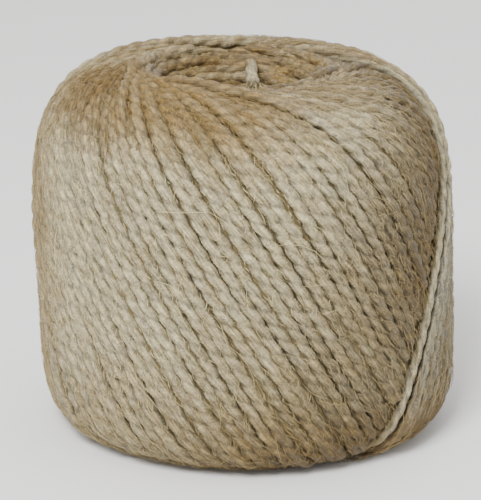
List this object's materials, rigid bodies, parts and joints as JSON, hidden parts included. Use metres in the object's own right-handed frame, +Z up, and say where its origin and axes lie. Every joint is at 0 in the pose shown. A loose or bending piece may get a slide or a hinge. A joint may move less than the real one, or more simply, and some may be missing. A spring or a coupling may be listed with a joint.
{
  "type": "ball of string",
  "caption": "Barrel-shaped ball of pale two-ply natural twine, wound in slanting turns round a hollow at each end, with a bare twine end lying across the upper hollow.",
  "frame": {"origin": "middle of the underside of the ball's box, on the surface that it stands on", "axes": "+Z up along the winding axis, -Y towards the front, +X to the front view's right"},
  "size_m": [0.1208, 0.1179, 0.1062],
  "materials": {
    "wound_twine": "pale golden sisal twine with a soft silky sheen, loose stray fibres and browner fuzz round the hollow",
    "end_twine": "paler bare end of the same twine, slightly frayed at the cut"
  },
  "bodies": {
    "root": {"wound_ball": "wound_twine", "loose_end": "end_twine"}
  },
  "joints": []
}
